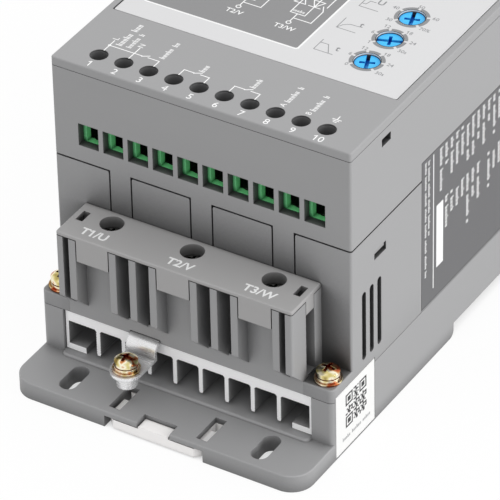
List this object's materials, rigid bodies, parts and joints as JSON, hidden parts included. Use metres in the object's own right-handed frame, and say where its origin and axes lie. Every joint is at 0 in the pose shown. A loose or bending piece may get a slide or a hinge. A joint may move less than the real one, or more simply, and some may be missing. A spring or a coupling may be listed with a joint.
{
  "type": "soft starter",
  "caption": "Three-phase motor soft starter in a stacked grey housing over a finned heatsink, with screw terminals, setting dials, mounting flanges and a sliding rail clip.",
  "frame": {"origin": "centre of the mounting plane, under the middle of the rail recess", "axes": "+Z out of the front face, -Y towards the output and control terminals, +X to the right when the front face is seen with the output end down"},
  "size_m": [0.09, 0.1972, 0.0922],
  "materials": {
    "grey_case": "fine moulded satin",
    "grey_cover": "fine moulded satin",
    "heatsink": "extruded",
    "tin": "tinned",
    "zinc_yellow": "yellow passivated zinc",
    "steel": "nickel plated",
    "copper": "bare",
    "overlay": "printed film",
    "label": "printed film",
    "sticker": "paper-like film",
    "green_plastic": "moulded",
    "blue_plastic": "moulded",
    "clip": "moulded nylon",
    "black_plastic": "moulded",
    "guide": "moulded",
    "board": "solder mask on glass laminate",
    "trimmer": "moulded"
  },
  "bodies": {
    "device": {"base_tray": "grey_case", "heatsink": "heatsink", "middle_housing": "grey_case", "output_terminal_block": "grey_case", "line_terminal_block": "grey_case", "top_cover": "grey_case", "output_terminal_cover": "grey_cover", "line_terminal_cover": "grey_cover", "front_overlay": "overlay", "rating_label": "label", "code_sticker": "sticker", "control_terminal_block": "green_plastic", "control_clamps": "steel", "control_clamp_screws": "steel", "driver_guides": "guide", "trimmer_bodies": "trimmer", "front_board": "board", "front_board_screws": "steel", "board_header": "black_plastic", "control_board": "board", "control_board_screws": "steel", "power_board": "board", "thyristor_module_u": "black_plastic", "thyristor_module_v": "black_plastic", "thyristor_module_w": "black_plastic", "module_screws": "steel", "bypass_relay_u": "black_plastic", "bypass_relay_v": "black_plastic", "bypass_relay_w": "black_plastic", "output_busbars": "copper", "line_busbars": "copper", "busbar_screws": "steel", "output_clamps": "steel", "output_clamp_screws": "steel", "line_clamps": "steel", "line_clamp_screws": "steel", "earth_strap": "tin", "earth_nut": "tin", "earth_flat_washer": "zinc_yellow", "earth_spring_washer": "zinc_yellow", "earth_screw": "zinc_yellow", "housing_flat_washers": "zinc_yellow", "housing_spring_washers": "zinc_yellow", "housing_screws": "zinc_yellow"},
    "ramp_down": {"ramp_down_dial": "blue_plastic"},
    "ramp_up": {"ramp_up_dial": "blue_plastic"},
    "start_voltage": {"start_voltage_dial": "blue_plastic"},
    "clip": {"rail_clip": "clip"}
  },
  "joints": [
    {"name": "ramp_down_turn", "type": "hinge", "parent": "device", "child": "ramp_down", "pos_m": [0.0273, -0.0332, 0.0915], "axis": [0, 0, -1], "range_deg": [-113, 154]},
    {"name": "ramp_up_turn", "type": "hinge", "parent": "device", "child": "ramp_up", "pos_m": [0.0273, -0.0215, 0.0915], "axis": [0, 0, -1], "range_deg": [-205, 62]},
    {"name": "start_voltage_turn", "type": "hinge", "parent": "device", "child": "start_voltage", "pos_m": [0.0273, -0.0098, 0.0915], "axis": [0, 0, -1], "range_deg": [-117, 150]},
    {"name": "clip_slide", "type": "slide", "parent": "device", "child": "clip", "axis": [0, -1, 0], "range_m": [0, 0.004]}
  ]
}
